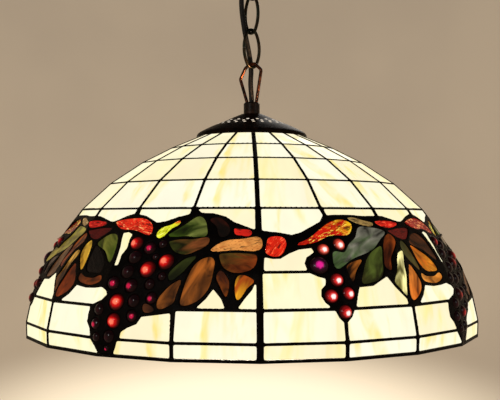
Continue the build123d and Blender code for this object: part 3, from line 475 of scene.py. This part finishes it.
def border_tones(table, glints=None):
    """A rule that gives a leaf or twig its tones."""
    def tones(middle, number):
        section, turn, height = around(middle)
        key = nearest(table, turn, height)
        low, high = (linear(tone) for tone in table[key][section % 2])
        if glints is None:
            return deeper(low), deeper(high), high
        glint = linear(glints[key]) if key in glints else high
        return low, high, glint
    return tones


def cream_tones(seed):
    """A rule that gives each pane its own cream, picked from a few sheets."""
    picks = random.Random(seed)

    def tones(middle, number):
        low, high = picks.choice(CREAMS)
        return linear(low), linear(picks.choice(AMBER_WISPS)), linear(high)
    return tones


GLASS = {
    "cream": lit_glass("cream_glass", (0.14, 0.5, 1), (0.2, 0.3, 1), (1.2, 1.2, 1),
                       depth=(0.95, 1.04), share_span=(0.92, 1.5), pull=0.05),
    "leaf": lit_glass("leaf_glass", (0.25, 1.0, 1), (0.45, 1.0, 1), (1.2, 2.6, 1),
                      depth=(0.1, 1.1), share_span=(0.6, 1.3)),
    "twig": lit_glass("twig_glass", (0.5, 0.9, 1), (0.7, 0.9, 1), (4, 6, 1),
                      depth=(0.7, 1.2), share_span=(1.15, 1.9), pull=0.75,
                      glints=(0.9, 3.4, 1), glint_scale=1.5),
}
for seed, name in enumerate(("row_1_glass", "row_2_glass", "row_3_glass", "row_4_glass",
                             "background_glass", "skirt_glass", "rim_glass")):
    tint(name, cream_tones(seed), long_way=False)
    paint(GLASS["cream"], name)
for name in ("leaf_glass_green", "leaf_glass_olive", "leaf_glass_brown", "leaf_glass_amber"):
    tint(name, border_tones(LEAF_TONES))
    paint(GLASS["leaf"], name)
for name in ("twig_glass_red", "twig_glass_yellow"):
    tint(name, border_tones(TWIG_TONES, TWIG_GLINTS))
    paint(GLASS["twig"], name)


# -------------------------------------------------------------------- the jewels
def cut_jewels(node, seed):
    """Writes each jewel's tones on its node, and its place in units of its radius."""
    picks = random.Random(seed)
    mesh = NODES[node].data
    co = vertex_places(mesh)
    low, high, glint = (np.ones((len(co), 4)) for _ in range(3))
    place, spot = (np.zeros((len(co), 3)) for _ in range(2))
    for numbers in solids_of(node):
        points = np.unique(co[numbers].round(6), axis=0)
        middle = points.mean(axis=0)
        section, turn, height = around(middle)
        out = np.array([middle[0], middle[1], 0.0])
        out /= np.linalg.norm(out)
        side = np.cross([0, 0, 1], out)
        radius = max(abs((points - middle) @ side))
        lean = math.atan2(*reversed(slope_at(middle)))
        out = out * math.cos(lean) + np.array([0, 0, math.sin(lean)])
        up = np.cross(out, side)
        local = (co[numbers] - middle) / radius
        place[numbers] = np.column_stack([local @ side, local @ up, local @ out])
        table = JEWEL_TONES[node]
        tones = table[nearest(table, turn, height)][section % 2]
        low[numbers], high[numbers], glint[numbers] = (linear(tone) for tone in tones)
        # where the jewel's painted bright spot sits, a little below its middle
        spot[numbers] = (picks.uniform(-0.25, 0.25), picks.uniform(-0.35, -0.05), 0)
    write_tones(mesh, low, high, glint)
    write(mesh, "place", "FLOAT_VECTOR", place)
    write(mesh, "spot", "FLOAT_VECTOR", spot)


# the dome's line as (radius, height above the rim) in mm, at each of its bends
DOME_LINE = [(52, 222.5), (95.5, 204), (128.5, 187), (164.5, 163), (195.5, 134.5),
             (217.5, 105.5), (236.5, 74), (248.5, 43.5), (254.5, 14.5), (254, 0)]


def slope_at(point):
    """The direction out of the dome at a point: (outwards, upwards)."""
    height = (point[2] - RIM_Z) / MM
    for (r0, h0), (r1, h1) in zip(DOME_LINE, DOME_LINE[1:]):
        if height >= h1:
            return h0 - h1, r1 - r0
    return 1.0, 0.0


JEWELS = {"grapes_red": jewel_glass("red_jewel", 1.0),
          "grapes_dark": jewel_glass("dark_jewel", 1.0)}
for seed, (name, material) in enumerate(JEWELS.items()):
    cut_jewels(name, seed)
    paint(material, name)

# --------------------------------------------------------------- metals and the rest
bronze = worn_metal("dark_bronze", "0e0d0b", "40281c", metallic=0.35, ior=1.25,
                    rough=(0.3, 0.5), wear=(0.58, 0.7))
# its underside gets a painted glow of the bulbs' light
cap_bronze = worn_metal("cap_bronze", "070504", "40281c", metallic=0.0, ior=1.07, rough=(0.25, 0.4),
                        wear=(0.58, 0.7), under="e8c890")
green_bronze = worn_metal("green_bronze", "161c15", "5a3822", rough=(0.25, 0.45),
                          wear=(0.58, 0.66))
copper_bronze = worn_metal("copper_bronze", "120b08", "a85a30", rough=(0.25, 0.42),
                           wear=(0.55, 0.62))
solder = worn_metal("patinated_solder", "040303", "1e1410", metallic=0.3,
                    rough=(0.4, 0.62), grain=500.0, wear=(0.6, 0.8), relief=0.3,
                    ior=1.14)
brass = worn_metal("dulled_brass", "6e5426", "c09a50", rough=(0.25, 0.45))
zinc = worn_metal("zinc_plate", "77787a", "c4c6c8", rough=(0.3, 0.5), grain=1500.0)
bulb_cap = worn_metal("bulb_cap_metal", "8c8c8a", "d8d8d6", rough=(0.2, 0.4))

paint(bronze, "loop_collar", "canopy", "canopy_ring_nut", "canopy_loop")
paint(cap_bronze, "vented_cap")
paint(green_bronze, "link_middle", "link_upper", "link_lower")
paint(copper_bronze, "wire_bail")
paint(solder, "rim_channel")
paint(brass, "mouth_ring", "cluster_box", "cluster_lid", "finial", "socket_arms",
      "socket_shells", "socket_contacts")
paint(zinc, "spider", "crossbar", "crossbar_nut", "canopy_nipple", "hanging_rod", "rod_nuts")
paint(bulb_cap, "bulb_bases")
paint(bulb_glow(), "bulbs")
paint(card_sleeve(), "socket_liners")


# ------------------------------------------------------------------------ leading
LEAD_GRID = 0.8 * MM       # size of the grid that rounds the leading
LEAD_ROUNDING = 5          # passes of smoothing
RIPPLE = 0.28 * MM         # how uneven the hand-run solder is


def smoothed_leading():
    """The leading as rounded beads of solder, a little uneven, in place of its
    square-cut CAD shape."""
    source = NODES["lead_lattice"]
    bead = bpy.data.objects.new("solder_beads", source.data.copy())
    bpy.context.scene.collection.objects.link(bead)
    remesh = bead.modifiers.new("grid", "REMESH")
    remesh.mode = "VOXEL"
    remesh.voxel_size = LEAD_GRID
    remesh.use_smooth_shade = True
    smooth = bead.modifiers.new("rounding", "SMOOTH")
    smooth.factor = 0.5
    smooth.iterations = LEAD_ROUNDING
    clouds = bpy.data.textures.new("solder_ripple", "CLOUDS")
    clouds.noise_scale = 0.006
    ripple = bead.modifiers.new("ripple", "DISPLACE")
    ripple.texture = clouds
    ripple.texture_coords = "LOCAL"
    ripple.strength = RIPPLE
    ripple.mid_level = 0.42
    bpy.context.view_layer.update()
    graph = bpy.context.evaluated_depsgraph_get()
    mesh = bpy.data.meshes.new_from_object(bead.evaluated_get(graph))
    bead.modifiers.clear()
    bead.data = mesh
    mesh.materials.clear()
    mesh.materials.append(solder)
    mesh.polygons.foreach_set("use_smooth", [True] * len(mesh.polygons))
    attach(bead, "shade")
    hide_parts("lead_lattice")
    return bead


smoothed_leading()

# --------------------------------------------------------------------------- cord
# the route that part.py gives: x, y and height above the rim, in mm
CORD_ROUTE = [(0, 0, 462), (0, 0, 444), (-8.4, 0.5, 427), (-11, 0.5, 404),
              (-12.6, 0.2, 376), (-8.2, 0.9, 345), (-3.4, 5.2, 324), (0, 8.2, 303),
              (-1.5, 4, 285), (0, 0, 267), (0, 0, 249)]
CORD_RADIUS = 2.9 * MM
CORD_SIDES = 20
CORD_STEPS = 24            # rings of the tube's mesh between two points of its route
JOINTS = ["upper_link_swing", "middle_link_swing", "lower_link_swing", "shade_swing"]


def cord_line():
    """The cord's middle line, from its top end down, as points of its spline."""
    curve = bpy.data.curves.new("cord_route", "CURVE")
    curve.dimensions = "3D"
    curve.resolution_u = CORD_STEPS
    spline = curve.splines.new("NURBS")
    spline.points.add(len(CORD_ROUTE) - 1)
    for point, (x, y, height) in zip(spline.points, CORD_ROUTE):
        point.co = (x * MM, y * MM, RIM_Z + height * MM, 1)
    spline.order_u = 3
    spline.use_endpoint_u = True
    holder = bpy.data.objects.new("cord_route", curve)
    bpy.context.scene.collection.objects.link(holder)
    bpy.context.view_layer.update()
    mesh = bpy.data.meshes.new_from_object(holder)
    line = [vertex.co.copy() for vertex in mesh.vertices]
    bpy.data.objects.remove(holder)
    return line


def tube(name, line, material):
    """A round tube along a line, with closed ends. Its mesh holds, as place, the
    way round it and along it."""
    side = Vector((1, 0, 0))
    rings, places = [], []
    travelled = 0.0
    for number, point in enumerate(line):
        after = line[min(number + 1, len(line) - 1)]
        before = line[max(number - 1, 0)]
        way = (after - before).normalized()
        side = (side - way * side.dot(way)).normalized()
        other = way.cross(side)
        travelled += (point - before).length
        for step in range(CORD_SIDES):
            turn = math.tau * step / CORD_SIDES
            rings.append(point + (side * math.cos(turn) + other * math.sin(turn)) * CORD_RADIUS)
            places.append((turn * 2 / math.tau, travelled / (6 * MM), 0))
    faces = []
    for ring in range(len(line) - 1):
        for step in range(CORD_SIDES):
            after = (step + 1) % CORD_SIDES
            base = ring * CORD_SIDES
            faces.append((base + step, base + after, base + CORD_SIDES + after,
                          base + CORD_SIDES + step))
    faces.append(tuple(reversed(range(CORD_SIDES))))
    faces.append(tuple(range(len(rings) - CORD_SIDES, len(rings))))
    mesh = bpy.data.meshes.new(name)
    mesh.from_pydata(rings, [], faces)
    mesh.polygons.foreach_set("use_smooth", [len(face) == 4 for face in faces])
    mesh.materials.append(material)
    write(mesh, "place", "FLOAT_VECTOR", places)
    mesh.flip_normals()
    mesh.update()
    piece = bpy.data.objects.new(name, mesh)
    bpy.context.scene.collection.objects.link(piece)
    return piece


def lay_cord():
    """The lamp cord in four lengths that meet halfway down each link."""
    line = cord_line()
    levels = [PIVOTS[name] for name in JOINTS]
    cuts = [math.inf] + [(a + b) / 2 for a, b in zip(levels, levels[1:])] + [-math.inf]
    jacket = cord_jacket()
    replaced = [["cord_in_canopy"], ["cord_at_upper_link"], ["cord_at_middle_link"],
                ["cord_at_lower_link", "cord_in_bail"]]
    for number, level in enumerate(levels):
        inside = [i for i, p in enumerate(line) if cuts[number] >= p.z >= cuts[number + 1]]
        first, last = max(inside[0] - 1, 0), inside[-1]
        piece = tube(f"cord_length_{number + 1}", line[first:last + 1], jacket)
        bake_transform(piece)
        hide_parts(*replaced[number])


lay_cord()

# -------------------------------------------------------------------------- stage
FLOOR_Z = RIM_Z - 0.95
ROOM_RADIUS = 2.9
ROOM_HIGH = 2.6
COVE = 0.7
# a pool of the lamp's light, painted as glow on the floor and wall behind the lamp
POOL_SHAPE = (0.8, 0, 2.6)  # how far the pool of lamplight is squeezed along X, Y and Z
POOL_RISE = 0.14            # its middle, above the floor
POOL_EDGE = (1.25, 0.5)     # where it fades out, and where it is full
POOL_COLOUR = (1.3, 1.1, 0.8, 1)
BULB_RING = 0.05            # radius of the ring of bulbs
BULB_RISE = 0.075           # their middle, above the rim


def studio():
    """A pale floor that sweeps up into a plain round wall, evenly glowing, with a pool of the
    lamp's light painted low on the floor and wall behind it.
    """
    line = [(0.0, FLOOR_Z), (ROOM_RADIUS - COVE, FLOOR_Z)]
    line += [(ROOM_RADIUS - COVE + COVE * math.sin(math.radians(a)),
              FLOOR_Z + COVE - COVE * math.cos(math.radians(a))) for a in range(10, 91, 10)]
    line += [(ROOM_RADIUS, FLOOR_Z + ROOM_HIGH)]
    sides = 96
    points = [(r * math.cos(math.tau * i / sides), r * math.sin(math.tau * i / sides), z)
              for r, z in line for i in range(sides)]
    faces = [(j * sides + i, j * sides + (i + 1) % sides,
              (j + 1) * sides + (i + 1) % sides, (j + 1) * sides + i)
             for j in range(len(line) - 1) for i in range(sides)]
    mesh = bpy.data.meshes.new("studio")
    mesh.from_pydata(points, [], faces)
    mesh.polygons.foreach_set("use_smooth", [True] * len(faces))
    room = bpy.data.objects.new("studio", mesh)
    bpy.context.scene.collection.objects.link(room)
    wall = Recipe("studio_wall", Roughness=0.95)
    place = wall.position()
    cloud = wall.noise(place, 1.3, 3.0)
    plaster = wall.mix(wall.ramp(cloud, 0.35, 0.65), linear("958775"), linear("9d8e7a"))
    away = wall.add("VectorMath", {"operation": "DISTANCE"})
    wall.feed(away, {0: wall.stretch(place, POOL_SHAPE),
                    1: (0, 0, POOL_SHAPE[2] * (FLOOR_Z + POOL_RISE))})
    behind = wall.ramp(wall.add("SeparateXYZ", None, Vector=place).outputs[1], 0.8, 1.8)
    # painted pool of lamplight, mixed into the wall's glow
    pool = wall.math("MULTIPLY", behind, wall.ramp(away.outputs["Value"], *POOL_EDGE))
    warm = wall.mix(pool, plaster, POOL_COLOUR)
    wall.feed(wall.surface, {"Base Color": linear("a09484"), "Emission Color": warm,
                             "Emission Strength": 0.85})
    wall.bump(wall.noise(place, 60.0, 4.0), 0.1, 0.5 * MM)
    mesh.materials.append(wall.material)


def lamp(kind, name, place, aim, power, colour, size):
    """A light aimed at a point."""
    light = bpy.data.lights.new(name, kind)
    light.energy = power
    light.color = colour
    if kind == "AREA":
        light.shape = "DISK"
        light.size = size
    else:
        light.shadow_soft_size = size
    if kind == "SPOT":
        light.spot_size = math.radians(34)
    holder = bpy.data.objects.new(name, light)
    holder.location = place
    holder.rotation_euler = (Vector(aim) - Vector(place)).to_track_quat("-Z", "Y").to_euler()
    bpy.context.scene.collection.objects.link(holder)
    return holder


studio()
lamp("AREA", "key_light", (-1.1, -1.5, 0.5), (0, 0, -0.3), 5, (1, 0.97, 0.92), 0.9)
lamp("AREA", "fill_light", (1.5, -0.9, 0.2), (0, 0, -0.3), 2.5, (0.92, 0.97, 1), 0.8)
lamp("AREA", "back_light", (0.4, 1.7, 0.6), (0, 0, -0.3), 3, (1, 0.95, 0.9), 0.8)
lamp("AREA", "small_window", (-0.75, -1.3, 0.15), (0, 0, -0.4), 2, (0.9, 0.96, 1), 0.14)
for turn in (30, 150, 270):                # inside the shade, beside each bulb
    spot = (BULB_RING * math.cos(math.radians(turn)),
            BULB_RING * math.sin(math.radians(turn)), RIM_Z + BULB_RISE)
    lamp("POINT", f"bulb_light_{turn}", spot, (0, 0, 0), 2, (1, 0.86, 0.62), 0.03)
# what the vents throw up on the wire bail
lamp("SPOT", "vent_light", (0.05, -0.06, CAP_Z - 0.004), (0.006, -0.004, CAP_Z + 0.045), 1.8,
     (1, 0.6, 0.32), 0.006)

world = bpy.data.worlds.new("studio_air")
world.use_nodes = True
world.node_tree.nodes["Background"].inputs["Color"].default_value = linear("c8c0b4")
world.node_tree.nodes["Background"].inputs["Strength"].default_value = 0.12
bpy.context.scene.world = world

# ------------------------------------------------------------------------- camera
CAMERA_DISTANCE = 1.043
CAMERA_Z = RIM_Z + 0.1242
CAMERA_LOOK_UP = 1.28      # degrees
CAMERA_AROUND = -1.69      # degrees from straight ahead of the first seam
LENS = 64.16               # for a 36 mm sensor


def set_camera():
    """The camera at the photograph's viewing angle."""
    data = bpy.data.cameras.new("camera")
    data.lens = LENS
    data.sensor_width = 36
    data.shift_x = -1.69 / 500
    data.clip_start = 0.01
    holder = bpy.data.objects.new("camera", data)
    turn = math.radians(CAMERA_AROUND)
    holder.location = (CAMERA_DISTANCE * math.sin(turn), -CAMERA_DISTANCE * math.cos(turn),
                       CAMERA_Z)
    holder.rotation_euler = (math.radians(90 + CAMERA_LOOK_UP), 0, turn)
    bpy.context.scene.collection.objects.link(holder)
    bpy.context.scene.camera = holder


set_camera()
bpy.context.scene.view_settings.view_transform = "Standard"
